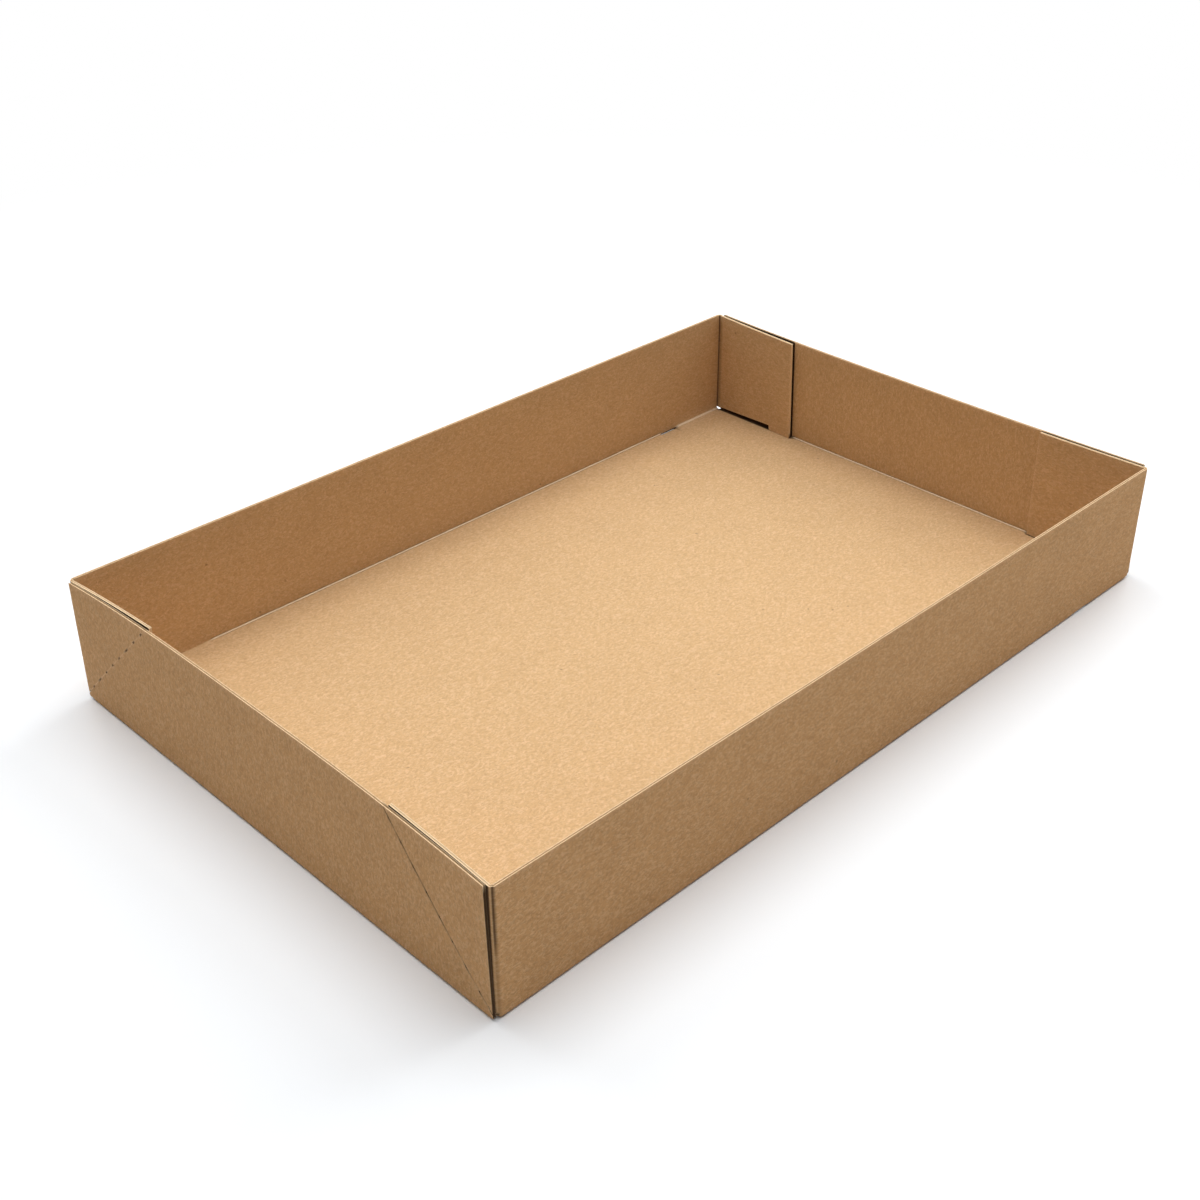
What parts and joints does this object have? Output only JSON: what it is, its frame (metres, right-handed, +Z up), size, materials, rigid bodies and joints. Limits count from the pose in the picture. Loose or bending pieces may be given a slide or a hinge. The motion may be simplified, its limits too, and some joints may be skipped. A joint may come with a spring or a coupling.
{
  "type": "cardboard tray box",
  "caption": "Shallow open-top cardboard tray folded from a flat kraft blank, with glue tabs behind the end walls and slanting creases on them.",
  "frame": {"origin": "middle of the tray's underside, on the surface it stands on", "axes": "+X along the long side, +Y along the short side, +Z up, out of the open top"},
  "size_m": [0.408, 0.267, 0.059],
  "materials": {
    "kraft_board": "matt uncoated brown kraft liner, fine fibres, pale cut edges"
  },
  "bodies": {
    "root": {"folded_tray": "kraft_board"}
  },
  "joints": []
}
